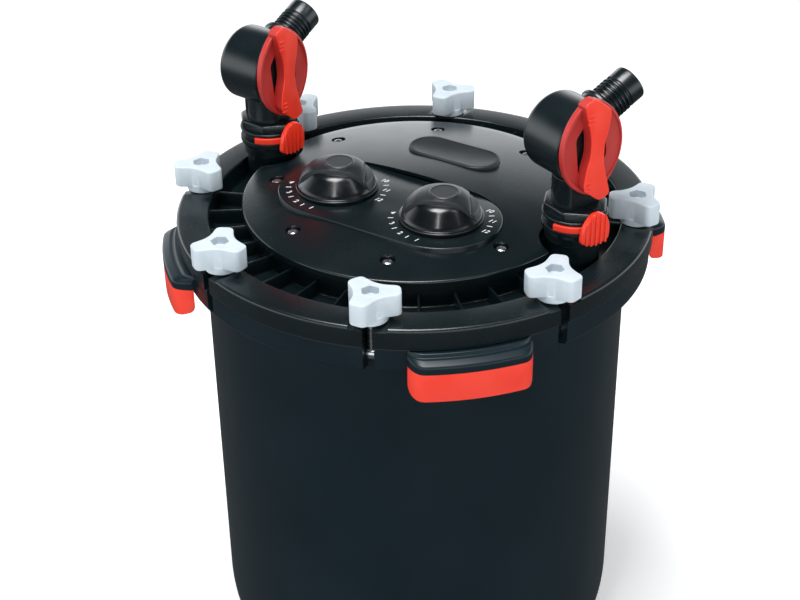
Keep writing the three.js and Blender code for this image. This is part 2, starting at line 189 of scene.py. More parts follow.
def above(height):
    """A test that passes an edge with both ends above a height."""
    def passes(edge):
        return min(vert.co.z for vert in edge.verts) > height
    return passes


def moved(bm, x=0.0, y=0.0, z=0.0):
    bmesh.ops.translate(bm, verts=bm.verts, vec=(x, y, z))
    return bm


def turned(bm, degrees, axis="Z"):
    turn = Matrix.Rotation(radians(degrees), 3, axis)
    bmesh.ops.rotate(bm, verts=bm.verts, cent=(0, 0, 0), matrix=turn)
    return bm


def together(parts):
    """One bmesh that holds every part, which are used up."""
    bm = bmesh.new()
    for part in parts:
        mesh = bpy.data.meshes.new("part")
        part.to_mesh(mesh)
        part.free()
        bm.from_mesh(mesh)
        bpy.data.meshes.remove(mesh)
    return bm


def around(bm, count=COUNT, start=FIRST):
    """Copies of a shape at even steps about the vessel's axis."""
    copies = [turned(bm.copy(), start + index * 360 / count) for index in range(count)]
    bm.free()
    return together(copies)


def both_sides(bm):
    return together([bm.copy(), turned(bm, 180)])


def boolean(bm, tool, operation):
    objects = []
    for part in (bm, tool):
        mesh = bpy.data.meshes.new("part")
        part.to_mesh(mesh)
        part.free()
        obj = bpy.data.objects.new("part", mesh)
        bpy.context.scene.collection.objects.link(obj)
        objects.append(obj)
    modifier = objects[0].modifiers.new("shape", "BOOLEAN")
    modifier.object = objects[1]
    modifier.operation = operation
    modifier.solver = "EXACT"
    made = bmesh.new()
    made.from_object(objects[0], bpy.context.evaluated_depsgraph_get())
    for obj in objects:
        bpy.data.meshes.remove(obj.data)
    return tidy(made)


def cut(bm, *tools):
    for tool in tools:
        bm = boolean(bm, tool, "DIFFERENCE")
    return bm


def join(bm, *parts):
    for part in parts:
        bm = boolean(bm, part, "UNION")
    return bm


def common(bm, other):
    return boolean(bm, other, "INTERSECT")


def stadium(half, radius, steps=24):
    """A long outline with two half-round ends, along X."""
    made = []
    for side, first in ((1, -90), (-1, 90)):
        for step in range(steps + 1):
            angle = radians(first + 180 * step / steps)
            made.append((side * half + radius * cos(angle), radius * sin(angle)))
    return made


def piece(name, bm, material, body, *nodes, slot=None):
    """Finish a shape: metres, smooth shading, material, and its place in the frame."""
    bmesh.ops.scale(bm, verts=bm.verts, vec=(MM, MM, MM))
    mesh = bpy.data.meshes.new(name)
    bm.to_mesh(mesh)
    bm.free()
    mesh.materials.append(material)
    mesh.shade_smooth()
    mesh.set_sharp_from_angle(angle=SMOOTH)
    obj = bpy.data.objects.new(name, mesh)
    bpy.context.scene.collection.objects.link(obj)
    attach(obj, body)
    if nodes:
        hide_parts(*nodes)
    return obj


# ---- Materials ----

def linear(code):
    """An sRGB hex colour as linear RGBA."""
    values = [int(code[start:start + 2], 16) / 255 for start in (1, 3, 5)]
    return tuple(v / 12.92 if v <= 0.04045 else ((v + 0.055) / 1.055) ** 2.4 for v in values) + (1,)


def add_node(tree, kind, inputs, **settings):
    """One node, with its settings, and a value or a link for each input."""
    node = tree.nodes.new(kind)
    for name, value in settings.items():
        setattr(node, name, value)
    for name, value in inputs.items():
        if isinstance(value, bpy.types.NodeSocket):
            tree.links.new(value, node.inputs[name])
        else:
            node.inputs[name].default_value = value
    return node


def blank(name, **shader_values):
    """A material with its shader, and its tree and Object coordinates to build patterns on."""
    material = bpy.data.materials.new(name)
    material.use_nodes = True
    tree = material.node_tree
    tree.nodes.clear()
    values = {key.replace("_", " "): value for key, value in shader_values.items()}
    shader = add_node(tree, "ShaderNodeBsdfPrincipled", values)
    add_node(tree, "ShaderNodeOutputMaterial", {"Surface": shader.outputs[0]})
    place = add_node(tree, "ShaderNodeTexCoord", {}).outputs["Object"]
    return material, tree, shader, place


def per_metre(size):
    """The texture scale that gives a pattern of that size in millimetres."""
    return 1 / (size * MM)


def moulded(name, colours, roughness, patch, grain, depth, **shader_values):
    """Moulded plastic: cloudy colour, gloss that drifts, and the mould's grain in the surface."""
    material, tree, shader, place = blank(name, **shader_values)
    cloud = add_node(tree, "ShaderNodeTexNoise", {
        "Vector": place, "Scale": per_metre(patch), "Detail": 4.0, "Roughness": 0.55})
    colour = add_node(tree, "ShaderNodeMix", {
        0: cloud.outputs[0], 6: linear(colours[0]), 7: linear(colours[1])}, data_type="RGBA")
    gloss = add_node(tree, "ShaderNodeMapRange", {
        "Value": cloud.outputs[0], "From Min": 0.3, "From Max": 0.7,
        "To Min": roughness[0], "To Max": roughness[1]})
    speck = add_node(tree, "ShaderNodeTexNoise", {
        "Vector": place, "Scale": per_metre(grain), "Detail": 2.0})
    bump = add_node(tree, "ShaderNodeBump", {
        "Height": speck.outputs[0], "Strength": 1.0, "Distance": depth * MM})
    tree.links.new(colour.outputs[2], shader.inputs["Base Color"])
    tree.links.new(gloss.outputs[0], shader.inputs["Roughness"])
    tree.links.new(bump.outputs[0], shader.inputs["Normal"])
    return material


def stainless_steel():
    """Turned stainless steel: fine rings round the axis, so highlights break into thin lines."""
    material, tree, shader, place = blank("stainless_steel_turned", Metallic=1.0)
    stretch = add_node(tree, "ShaderNodeMapping", {"Vector": place, "Scale": (0.1, 0.1, 1.0)})
    line = add_node(tree, "ShaderNodeTexNoise", {
        "Vector": stretch.outputs[0], "Scale": per_metre(0.6), "Detail": 3.0})
    colour = add_node(tree, "ShaderNodeMix", {
        0: line.outputs[0], 6: linear("#A9AEB3"), 7: linear("#D5D8DA")}, data_type="RGBA")
    gloss = add_node(tree, "ShaderNodeMapRange", {
        "Value": line.outputs[0], "To Min": 0.18, "To Max": 0.36})
    bump = add_node(tree, "ShaderNodeBump", {
        "Height": line.outputs[0], "Strength": 0.6, "Distance": 0.03 * MM})
    tree.links.new(colour.outputs[2], shader.inputs["Base Color"])
    tree.links.new(gloss.outputs[0], shader.inputs["Roughness"])
    tree.links.new(bump.outputs[0], shader.inputs["Normal"])
    return material


def open_foam():
    """Reticulated polyether foam: open cells of about 2 mm, dark inside and soft at the edges."""
    material, tree, shader, place = blank("polyether_foam_open", Roughness=1.0, Sheen_Weight=0.3)
    cell = add_node(tree, "ShaderNodeTexVoronoi", {"Vector": place, "Scale": per_metre(2.0)})
    colour = add_node(tree, "ShaderNodeMix", {
        0: cell.outputs[0], 6: linear("#15181A"), 7: linear("#3A4147")}, data_type="RGBA")
    bump = add_node(tree, "ShaderNodeBump", {
        "Height": cell.outputs[0], "Strength": 1.0, "Distance": 0.8 * MM})
    tree.links.new(colour.outputs[2], shader.inputs["Base Color"])
    tree.links.new(bump.outputs[0], shader.inputs["Normal"])
    return material


# Glass-filled polypropylene, moulded in a spark-eroded tool: a teal black with a soft sheen.
# Its grain is drawn at about 1 mm, coarser than life, so that it shows.
BLACK = moulded("polypropylene_moulded_black", ("#060F12", "#0B181C"), (0.22, 0.3), 60, 1.0, 0.012,
                Specular_IOR_Level=0.5)
# The same plastic on the tall wall, with a duller skin, so the wall keeps dark between soft bands.
WALL = moulded("polypropylene_moulded_wall", ("#05151B", "#0A1E26"), (0.3, 0.4), 90, 1.1, 0.02,
               Specular_IOR_Level=0.3)
# Polished ABS: a deep black with sharp reflections and faint smudges in the gloss.
DIAL_BLACK = moulded("abs_polished_black", ("#060A0C", "#0C1114"), (0.18, 0.27), 14, 5.0, 0.01,
                     Specular_IOR_Level=0.55)
# The same ABS with an eroded skin on the dials' grips: a softer black that only shimmers.
GRIP_BLACK = moulded("abs_eroded_black", ("#10161A", "#1A2125"), (0.34, 0.46), 12, 0.7, 0.02)
# Matte-eroded ABS: a slate grey that takes no sharp reflection.
SLATE = moulded("abs_eroded_slate", ("#0E1316", "#161B1E"), (0.4, 0.52), 20, 0.8, 0.03)
# Pigmented ABS: orange red with a soft gloss and a little light under the skin.
RED = moulded("abs_moulded_red", ("#DB2A16", "#E63A20"), (0.3, 0.42), 25, 0.9, 0.02,
              Subsurface_Weight=0.08, Subsurface_Scale=0.002)
# The same plastic in the lever's sunken plate: its coarser, duller mould skin is real, and its deeper
# red is painted shade for the sunken plate.
SHADED_RED = moulded("abs_red_painted_shade", ("#A0201C", "#B42C26"), (0.42, 0.55), 18, 0.8, 0.03,
                   Subsurface_Weight=0.05, Subsurface_Scale=0.002)
# Glass-filled nylon: a cool pale grey, dulled by its fibres.
PALE = moulded("nylon_glass_filled_pale", ("#AFBAC2", "#C3CDD4"), (0.4, 0.55), 9, 0.7, 0.03,
               Subsurface_Weight=0.05, Subsurface_Scale=0.002)
# Grey polypropylene of the pump and baskets: a waxy, even surface.
GREY = moulded("polypropylene_moulded_grey", ("#80888C", "#959CA0"), (0.42, 0.55), 40, 1.0, 0.03)
# EPDM rubber: nearly black and matte, with a faint bloom.
RUBBER = moulded("epdm_rubber", ("#141414", "#232424"), (0.75, 0.95), 12, 0.8, 0.05,
                 Sheen_Weight=0.15)
# Pad-printed ink: an even white with slightly thin patches.
INK = moulded("pad_print_white", ("#D9DEDF", "#F2F4F4"), (0.5, 0.65), 3, 0.5, 0.005)
STEEL = stainless_steel()
FOAM = open_foam()
# The floor: white acrylic sheet lit from below, so only the darkest of the shadow shows on it.
SHEET = moulded("lit_acrylic_sheet", ("#F4F5F5", "#FAFAFA"), (0.7, 0.8), 900, 3, 0.02,
                Emission_Color=linear("#FFFFFF"), Emission_Strength=0.36)


# ---- Canister: wall, collar, hinge slots and handle brackets ----

def vessel_shell():
    """The wall with its foot turned in round the motor, and the thick collar under the lid."""
    collar_top = RIM_Z - FLANGE_H - GAP
    collar_low = RIM_Z - 37
    return ring(rounded([
        (41, 56), (70, 56, 3), (74, 12, 3), (138, 12, 3), (154, 17, 6), (166, 29, 6), (173, 46, 8),
        (BODY_R, 64, 8), (BODY_R, collar_low - 9, 3), (COLLAR_R, collar_low - 1, 4),
        (COLLAR_R, collar_top, 1.2), (BORE_R, collar_top, 1), (BORE_R, 66, 8), (163, 42, 8),
        (150, 24, 6), (136, 18, 4), (80, 18, 3), (76, 62, 3), (41, 62),
    ], closed=True))


def drawn_in(bm):
    """Curve the ends of a handle's pieces back to the collar. The handle is centred on X."""
    reach = 3.6                              # degrees at each end that curve
    draw = 12                                # how far the very end comes in
    for vert in bm.verts:
        angle, radius = atan2(vert.co.y, vert.co.x), vert.co.xy.length
        past = max(0, abs(angle) * 180 / pi - HANDLE_HALF + reach) / reach
        share = max(0, radius - HANDLE_ROOT_R) / (GRIP_R[1] - HANDLE_ROOT_R)
        radius -= draw * past ** 2 * share
        vert.co.x, vert.co.y = radius * cos(angle), radius * sin(angle)
    return bm


def bracket():
    """A shelf out from the collar with a stepped edge, and a lip that hangs down behind the grip."""
    lip_top, lip_r, shortening = -30.5, 195, 0.13
    outline = rounded([
        (172, -52), (185, -41, 6), (202, -26.5, 5), (201.2, -50), (203.9, -50), (203.9, -30.2),
        (GRIP_R[1], -30.2), (GRIP_R[1], -24, 2), (203, -21.3, 1), (200.5, -21.6, 0.8),
        (199, -18.7, 1), (172, -18.7),
    ], closed=True)
    shape = turned(moved(ring(outline, 36, 2 * HANDLE_HALF), z=RIM_Z), -HANDLE_HALF)
    # The lip is shorter than the grip that covers it.
    for vert in shape.verts:
        if vert.co.z < RIM_Z + lip_top and vert.co.xy.length > lip_r:
            back = -shortening * atan2(vert.co.y, vert.co.x)
            vert.co.xy = Matrix.Rotation(back, 2) @ vert.co.xy
    return drawn_in(shape)


def canister():
    slot = soften(block((SLOT_R, 216), (-SLOT_HALF, SLOT_HALF), (RIM_Z - 56, RIM_Z - 12)), 1)
    hole = turned(disc(PIN_HOLE_R, -10.4, 10.4, steps=20), 90, "X")
    holes = around(moved(hole, FASTENER_R, 0, RIM_Z + PIVOT_Z))
    outlet = moved(turned(disc(9.4, -190, -150), 90, "X"), z=DRAIN_Z)
    # Whatever of the brackets reaches into the bore is cut away.
    clear_r = BORE_R - 0.02
    inside = revolve([(0, 70), (clear_r, 70), (clear_r, RIM_Z + 5), (0, RIM_Z + 5)])
    body = join(vessel_shell(), around(bracket(), 4, 45))
    body = cut(body, inside, around(slot), holes, outlet)
    piece("vessel", body, WALL, "vessel_assembly", "canister")


def base():
    """The base ring with its upright fins, which stop short of the vessel's curve."""
    clearance = revolve([(0, 11.7), (138.2, 11.7), (154.3, 16.6), (166.4, 28.8), (173.4, 46),
                         (0, 46)])
    fin = soften(block((161, 169.5), (-4.5, 4.5), (5, 38)), 0.8)
    wall = ring(rounded([(126, 4, 1), (168, 4, 1.5), (168, 11, 1.5), (126, 11, 1)], closed=True))
    piece("base_skirt", cut(join(wall, around(fin, 8, 0)), clearance), WALL, "vessel_assembly",
          "base_ring")
    for index in range(4):
        name = f"foot_{index + 1}"
        spot = (low(name) + high(name)) / 2
        pad = revolve(rounded([
            (0, 0), (9, 0, 1.5), (10, 3.7, 0.8), (4, 3.7, 0.5), (3, 2.2, 0.5), (0, 2.2)]), 48)
        piece(f"rubber_{name}", moved(pad, spot.x, spot.y), RUBBER, "vessel_assembly", name)


# ---- Lid ----

CHANNEL = -16                                # floor of the channel round the cover
CHANNEL_R = (138, 170)
RIB_COUNT = 32
RIB_FREE = 15                                # degrees beside each valve without ribs
SPIGOT_R = 16.4                              # holes that the valves' stems plug into


def lid():
    inner, outer = CHANNEL_R
    shell = revolve(rounded([
        (0, -3), (131, -3, 2), (134, -20, 2), (163.5, -20), (163.5, -32, 1), (169.2, -32, 1),
        (169.2, -27), (166, -27), (166, -22), (169.2, -22), (169.2, -FLANGE_H),
        (RIM_R, -FLANGE_H, 1.6), (RIM_R, 0, 3.2), (outer, 0, 1.6), (outer - 3, CHANNEL, 3),
        (inner, CHANNEL, 2), (inner, DRUM_RISE, 1), (0, DRUM_RISE),
    ]))
    ribs = []
    for index in range(RIB_COUNT):
        angle = index * 360 / RIB_COUNT
        if min(angle % 180, 180 - angle % 180) > RIB_FREE:
            rib = soften(block((inner - 1, outer + 0.5), (-0.9, 0.9), (-18, -3.5)), 0.5)
            ribs.append(turned(rib, angle))
    port = common(moved(disc(33, -19, 1.5, steps=64), VALVE_X),
                  disc(inner - 0.2, -19, 1.5, steps=ROUND))
    well = common(moved(disc(PORT_R, CHANNEL + 0.1, 12, steps=64), VALVE_X),
                  disc(outer + 1, -20, 12, steps=ROUND))
    hole = moved(disc(SPIGOT_R, -20.6, 4), VALVE_X)
    # The flange falls away outside each bolt, so that a knob's boss clears it as the bolt swings.
    side = [(FASTENER_R, 0), (200, -4.4), (200, 5), (FASTENER_R, 5)]
    ramp = turned(prism(side, -15, 15), 90, "X")
    slot = soften(block((SLOT_R, 202), (-SLOT_HALF, SLOT_HALF), (-22, 8)), 1)
    screw_hole = moved(disc(2.4, -1.5, 4, steps=16), SCREW_R)
    body = join(shell, together(ribs), both_sides(port))
    body = cut(body, both_sides(well), both_sides(hole), around(ramp), around(slot),
               around(screw_hole))
    piece("lid_shell", moved(body, z=RIM_Z), BLACK, "vessel_assembly", "lid")


# ---- Cover plate, dial panel with its printed months, badge pad and screws ----

def dome_height(radius):
    """The cover's crown above the rim at a radius: it falls faster towards its edge."""
    fall, fall_r = 13.3, 140.5
    return DOME_TOP - fall * (radius / fall_r) ** 1.8


def badge_outline(extra=0.0):
    middle = (low("badge_pad") + high("badge_pad")) / 2
    radius = (high("badge_pad").y - low("badge_pad").y) / 2
    half = (high("badge_pad").x - low("badge_pad").x) / 2 - radius
    return [(x + middle.x, y + middle.y) for x, y in stadium(half, radius + extra)]


def panel_outline(extra=0.0):
    return [(x, y + DIAL.y) for x, y in stadium(DIAL.x, PANEL_R + extra, 40)]


def cover_plate():
    seat, wall = 106, 3
    crown = [(radius, dome_height(radius)) for radius in (132, 120, 106, 92, 78, 64, 48, 32, 16, 0)]
    under = [(radius, z - wall) for radius, z in reversed(crown) if radius <= seat]
    plate = revolve(under + [(seat, DRUM_RISE + GAP)] + rounded([
        (seat + 1, DRUM_RISE + GAP), (COVER_R, DRUM_RISE + GAP, 0.6), (COVER_R, 8.3, 1.6),
        (132, dome_height(132))]) + crown[1:])
    clear = 26                               # a height above the whole plate
    bore = moved(revolve(rounded([
        (0, 0), (2.4, 0), (2.4, 8), (6, 8, 0.5), (6, dome_height(SCREW_R) - 0.8, 0.6), (7, 16),
        (7, clear), (0, clear)]), 40), SCREW_R)
    port = moved(disc(PORT_R + 1, 0, clear, steps=64), VALVE_X)
    plate = cut(plate, prism(panel_outline(GAP), 0, clear),
                prism(badge_outline(GAP), low("badge_pad").z - RIM_Z - GAP, clear),
                both_sides(port), around(bore))
    piece("cover_dome", moved(plate, z=RIM_Z), BLACK, "vessel_assembly", "cover_plate")


def dial_panel():
    """A tray with a thin floor, and a boss with a hole under each dial's spindle."""
    wall = 3
    tray = soften(prism(panel_outline(), DRUM_RISE + GAP, PANEL_TOP), 0.9, 3, 50,
                  above(PANEL_TOP - 1))
    hollow = prism(panel_outline(-wall), 0, PANEL_TOP - wall)
    boss = moved(disc(10, DRUM_RISE + GAP, PANEL_TOP - 1), DIAL.x)
    spindle = moved(disc(5.6, 8, 24), DIAL.x)
    tray = cut(join(cut(tray, hollow), moved(both_sides(boss), y=DIAL.y)),
               moved(both_sides(spindle), y=DIAL.y))
    piece("month_panel", moved(tray, z=RIM_Z), BLACK, "vessel_assembly", "dial_panel")


def text_mesh(words, size, depth):
    """A number as a flat-backed solid, lying face up and centred."""
    curve = bpy.data.curves.new("number", "FONT")
    curve.body = words
    curve.size = size
    curve.shear = 0.25
    curve.extrude = depth
    curve.align_x = "CENTER"
    curve.align_y = "CENTER"
    obj = bpy.data.objects.new("number", curve)
    bpy.context.scene.collection.objects.link(obj)
    flat = obj.evaluated_get(bpy.context.evaluated_depsgraph_get())
    bm = bmesh.new()
    bm.from_mesh(flat.to_mesh())
    flat.to_mesh_clear()
    bpy.data.objects.remove(obj)
    bpy.data.curves.remove(curve)
    return bm


def month_marks():
    """Printed numbers of the months on each side of a dial, with a tick between neighbours."""
    first, step = -87.3, 24.8                # degrees: the first month, and from month to month
    radius, letter, ink = 40, 6.4, 0.12
    marks = []
    for dial_x in (DIAL.x, -DIAL.x):
        for month in (10, 11, 12, 1, 2, 3, 4):
            angle = first - (month - 1) * step
            x = dial_x + radius * cos(radians(angle))
            y = DIAL.y + radius * sin(radians(angle))
            marks.append(moved(text_mesh(str(month), letter, ink), x, y))
            if month not in (12, 4):
                tick = block((radius - 2.2, radius + 2.2), (-0.32, 0.32), (-ink, ink))
                marks.append(moved(turned(tick, angle - step / 2), dial_x, DIAL.y))
    return marks


def badge():
    """The raised pad behind the dials, left blank, with a shallow field inside its border."""
    bottom, top = low("badge_pad").z - RIM_Z, high("badge_pad").z - RIM_Z
    border, sunk = 2.4, 0.5
    pad = soften(prism(badge_outline(), bottom, top), 1.2, 3, 50, above(top - 1))
    field = soften(prism(badge_outline(-border), top - sunk, top + 4), 0.3, 2, 50)
    piece("badge_blank", moved(cut(pad, field), z=RIM_Z), SLATE, "vessel_assembly", "badge_pad")


def cover_screws():
    """Pan-head screws with a hexagon socket, each stopped at its own turn."""
    for index in range(COUNT):
        name = f"cover_screw_{index + 1}"
        spot = (low(name) + high(name)) / 2
        head = revolve(rounded([
            (0, -1), (1.9, -1, 0.4), (1.9, 8.3), (4.8, 8.3, 0.4), (4.8, 10, 0.6), (3.4, 11.4, 1.2),
            (0, 11.6)]), 40)
        socket = turned(disc(2.1, 9.6, 14, steps=6), 10 + index * 37)
        piece(f"pan_{name}", moved(cut(head, socket), spot.x, spot.y, RIM_Z), STEEL,
              "vessel_assembly", name)


# ---- Dials ----

def dial_flat():
    """The room over the flat at a dial's right side."""
    heading = 32
    return soften(turned(block((22, 60), (-60, 60), (30, 60)), heading), 1.5, 3)


def dial_base():
    """A flanged base whose polished wall rises like a cone, with a flat at one side."""
    low_z = PANEL_TOP + GAP
    base = revolve(rounded([
        (0, 8.4), (5, 8.4, 0.6), (5, low_z), (33.4, low_z, 0.5), (34, low_z + 3.4, 0.8),
        (31.6, low_z + 4, 0.5), (30.4, 24.6, 1.5), (20.5, 36, 3), (14, 38, 3), (0, 38.6)]), 128)
    return cut(base, dial_flat())


def dial_grip():
    """The matte grip over the back of the cone: an arched front edge, and a wall at the flat."""
    cover = revolve(rounded([
        (0, 20), (31.2, 20), (31.4, 23.6, 1), (29, 31, 4), (21, 39.4, 6), (10, 41.6, 2),
        (0, 41.6)]), 128)
    # The front edge is part of a far larger circle, centred behind the dial.
    arch_r, arch_x, arch_y = 110, -33.7, 89.1
    behind = moved(disc(arch_r, 16, 60, steps=360), arch_x, arch_y)
    cap = revolve(rounded([(0, 34), (12.4, 34), (12.4, 41.8, 0.8), (11.2, 42.6, 0.5),
                           (10, 42.2, 0.5), (0, 42.4)]), 72)
    shape = join(cut(common(cover, behind), dial_flat()), moved(cap, 2.5, 0.5))
    return soften(shape, 0.5, 2, 34)


def dials():
    for side in ("right", "left"):
        body = f"dial_{side}"
        spot = axis_point(f"dial_turn_{side}")
        base_shape = moved(dial_base(), spot.x, spot.y, RIM_Z)
        piece(f"month_dial_{side}", base_shape, DIAL_BLACK, body, body)
        grip_shape = moved(dial_grip(), spot.x, spot.y, RIM_Z)
        piece(f"dial_grip_{side}", grip_shape, GRIP_BLACK, body, slot="dial_plastic")


# ---- Lid fasteners ----

def knob_body():
    """Three blunt lobes with hollow sides, a boss below and a hexagon socket on top."""
    tip, half, valley = 22.6, 6.6, 11.2      # a lobe's reach and half width, and the hollow's
    low_z, top_z = 5.0, 23.5
    outline = []
    for lobe in range(3):
        turn = Matrix.Rotation(lobe * 2 * pi / 3, 2)
        for x, y, room in ((tip, -half, 4.5), (tip, half, 4.5),
                           (valley * cos(pi / 3), valley * sin(pi / 3), 40)):
            spot = turn @ Vector((x, y))
            outline.append((spot.x, spot.y, room))
    shape = soften(prism(rounded(outline, True, 8), low_z, top_z), 1.3, 3, 50, flat_edge)
    boss = disc(13.2, 0.4, low_z + 2, 0.8)
    hexagon = turned(disc(7.4, 17.5, 30, steps=6), 30)
    return cut(join(shape, boss), disc(4.3, -1, 14.6), soften(hexagon, 0.3))


def bolt_body():
    """A threaded bolt with an eye at its foot and a pin through it."""
    pitch, root, crest = 1.25, 3.05, 3.5
    thread_low, thread_high = 22.4, 42.5
    profile = [(0, 0), (crest, 0), (crest, 22)]
    z = thread_low
    while z < thread_high:
        profile += [(root, z), (crest, z + pitch / 2)]
        z += pitch
    shaft = revolve(profile + [(2.6, 44), (0, 44)], 28)
    eye = soften(turned(disc(5, -3.9, 3.9, steps=40), 90, "X"), 0.5, 2, 50)
    pin = turned(disc(2.4, -10, 10, 0.4, 24), 90, "X")
    return join(shaft, eye, pin)


def fasteners():
    # Degrees that each knob is turned on its bolt, where the hand stopped tightening it.
    lobe_turns = (-26.5, 3.5, 33.5, -26.5, -18, -2, 36, -11.5)
    for number, lobe in enumerate(lobe_turns, 1):
        spot = axis_point(f"bolt_swing_{number}")
        heading = atan2(spot.y, spot.x) * 180 / pi
        bolt = moved(turned(bolt_body(), heading), spot.x, spot.y, spot.z)
        piece(f"eye_bolt_{number}", bolt, STEEL, f"swing_bolt_{number}", f"swing_bolt_{number}")
        knob = moved(turned(knob_body(), lobe), spot.x, spot.y, RIM_Z)
        piece(f"lobe_knob_{number}", knob, PALE, f"knob_{number}", f"knob_{number}")


# ---- Handle grips ----

def grip_body():
    """A skin bent round the handle's lip, with well rounded lower corners."""
    inner, outer = GRIP_R
    half = radians(HANDLE_HALF) * outer
    bottom, top = GRIP_Z
    outline = rounded([(-half, top, 0.8), (-half, bottom, 9), (half, bottom, 9), (half, top, 0.8)],
                      closed=True, steps=8)
    skin = prism(outline, inner, outer)
    slices = 40
    for index in range(1, slices):
        at = -half + 2 * half * index / slices
        bmesh.ops.bisect_plane(skin, geom=skin.verts[:] + skin.edges[:] + skin.faces[:],
                               plane_co=(at, 0, 0), plane_no=(1, 0, 0))
    skin = soften(skin, 1.4, 3, 50, above(outer - 1))
    for vert in skin.verts:
        angle, radius, z = vert.co.x / outer, vert.co.z, vert.co.y
        vert.co = (radius * cos(angle), radius * sin(angle), z)
    return tidy(drawn_in(skin))


def grips():
    for index in range(4):
        name = f"handle_grip_{index + 1}"
        spot = (low(name) + high(name)) / 2
        heading = round(atan2(spot.y, spot.x) * 180 / pi)
        piece(f"red_{name}", moved(turned(grip_body(), heading), z=RIM_Z), RED,
              "vessel_assembly", name)


# ---- Hose valves, each in its own frame: X along the drum, Z up, the stem's axis at the origin ----

NOZZLE_RISE = 26                             # degrees
NOZZLE_ROOT = 34
NOZZLE_TIP = 66
DRUM_LENGTH = 42.2
DRUM_R = 31
SHOULDER_TOP = 44.2                          # the top of the stem's octagonal shoulder
LEVER_PIVOT = 2.7                            # a lever's joint is placed this far out of its inner face


def valve_frame(side):
    stem = axis_point(f"release_turn_{side}")
    axle = Vector(joints[f"lever_turn_{side}"]["axis"])
    return (Matrix.Translation((stem.x, stem.y, RIM_Z))
            @ Matrix.Rotation(atan2(axle.y, axle.x), 4, "Z"))


def lever_face(side):
    """How far the lever's inner face is from the stem's axis, along the drum."""
    stem = axis_point(f"release_turn_{side}")
    axle = Vector(joints[f"lever_turn_{side}"]["axis"])
    return (axis_point(f"lever_turn_{side}") - stem).xy.dot(axle.xy) - LEVER_PIVOT


def nozzle_offset(side):
    spout = low(f"hose_nozzle_{side}") + high(f"hose_nozzle_{side}")
    local = valve_frame(side).inverted() @ (spout / 2)
    return local.x


def axle_z(side):
    return axis_point(f"lever_turn_{side}").z - RIM_Z


def leant(bm, side):
    """From upright on the drum's axis to the spout's slope, over the back of the valve."""
    return moved(turned(bm, NOZZLE_RISE - 90, "X"), nozzle_offset(side), 0, axle_z(side))


def valve_body(side):
    """A ringed stem, a shoulder and a wing that carry the drum, and the spout's socket."""
    face, axle = lever_face(side) - GAP, axle_z(side)
    back = face - DRUM_LENGTH
    stem = revolve(rounded([
        (0, -44), (16, -44, 1.5), (16, CHANNEL + 0.4), (20.6, CHANNEL + 0.4, 0.8), (20.6, 13, 0.6),
        (23, 14, 0.6), (23, 21, 0.6), (25.6, 23.6, 0.8), (25.6, 27.7, 0.6), (22, 27.7),
        (22, 34.3), (25.6, 34.3, 0.6), (25.6, 36.5, 0.8), (18, 38, 1), (18, 66, 0.6), (19, 66.6, 0.4),
        (19, 68.4, 0.6), (14, 69, 1), (14, axle - 9), (0, axle - 9)]), 96)
    shoulder = soften(prism([(-25, -9), (-12, -22), (12, -22), (26, -8), (26, 8), (12, 22),
                             (-12, 22), (-25, 9)], 36, SHOULDER_TOP), 1.6, 3)
    wing = soften(block((-24.4, -12), (-4.6, 4.6), (40, axle - 7)), 1.2, 3)
    drum = turned(revolve(rounded([
        (0, back), (DRUM_R - 3, back, 2), (DRUM_R, back + 3.5, 5), (DRUM_R, face - 1, 1),
        (DRUM_R - 1, face, 0.6), (0, face)]), 128), 90, "Y")
    socket = revolve(rounded([
        (0, 0), (17, 0), (17, 30, 0.6), (18, 30.6, 0.4), (18, 33.4, 1), (16.4, NOZZLE_ROOT, 0.4),
        (0, NOZZLE_ROOT)]), 64)
    # Cut flat in line with the drum's face, so that the lever turns clear of the stem.
    lever_side = block((face, 70), (-60, 60), (SHOULDER_TOP + GAP, 150))
    shape = join(moved(drum, z=axle), stem, shoulder, wing, leant(socket, side))
    shape = cut(shape, lever_side)
    shape.transform(valve_frame(side))
    piece(f"valve_housing_{side}", shape, BLACK, "vessel_assembly", f"valve_body_{side}")


def nozzle(side):
    """A hose spout: sharp rings that grip the hose, then a plain cuff, open to the bore."""
    root = NOZZLE_ROOT + GAP
    profile = [(9, root), (13, root), (13, root + 1)]
    rings, pitch = 5, 3.5
    for index in range(rings):
        z = root + 1 + index * pitch
        profile += [(14.5, z + 0.4), (14.5, z + 1.2), (12.9, z + pitch - 0.5), (12.9, z + pitch)]
    profile += rounded([(12.9, 53.4), (14.2, 53.6, 0.5), (14.3, NOZZLE_TIP, 1.6),
                        (10.2, NOZZLE_TIP, 0.8), (9, NOZZLE_TIP - 3)])
    shape = leant(ring(profile, 72), side)
    shape.transform(valve_frame(side))
    piece(f"hose_spout_{side}", shape, BLACK, "vessel_assembly", f"hose_nozzle_{side}")


def lens(half_width, half_height, steps=20):
    """Two equal arcs that meet in a point above and below."""
    radius = (half_height ** 2 + half_width ** 2) / (2 * half_width)
    swing = atan2(half_height, radius - half_width)
    made = []
    for side in (1, -1):
        for step in range(steps):
            angle = swing * (2 * step / steps - 1)
            made.append((side * (radius * cos(angle) - radius + half_width),
                         side * radius * sin(angle)))
    return made


def facing_out(out=0.0, up=0.0):
    """The turn that stands a flat drawing up, with X across, Y up and its face along the drum."""
    return Matrix(((0, 0, 1, out), (1, 0, 0, 0), (0, 1, 0, up), (0, 0, 0, 1)))


def standing(bm, side, out=0.0, up=0.0):
    bm.transform(facing_out(out, up))
    bm.transform(valve_frame(side))
    return bm


BAR_Z = (1.6, 9.4, 10.8)                     # the bar's foot, the foot of its face, and its face


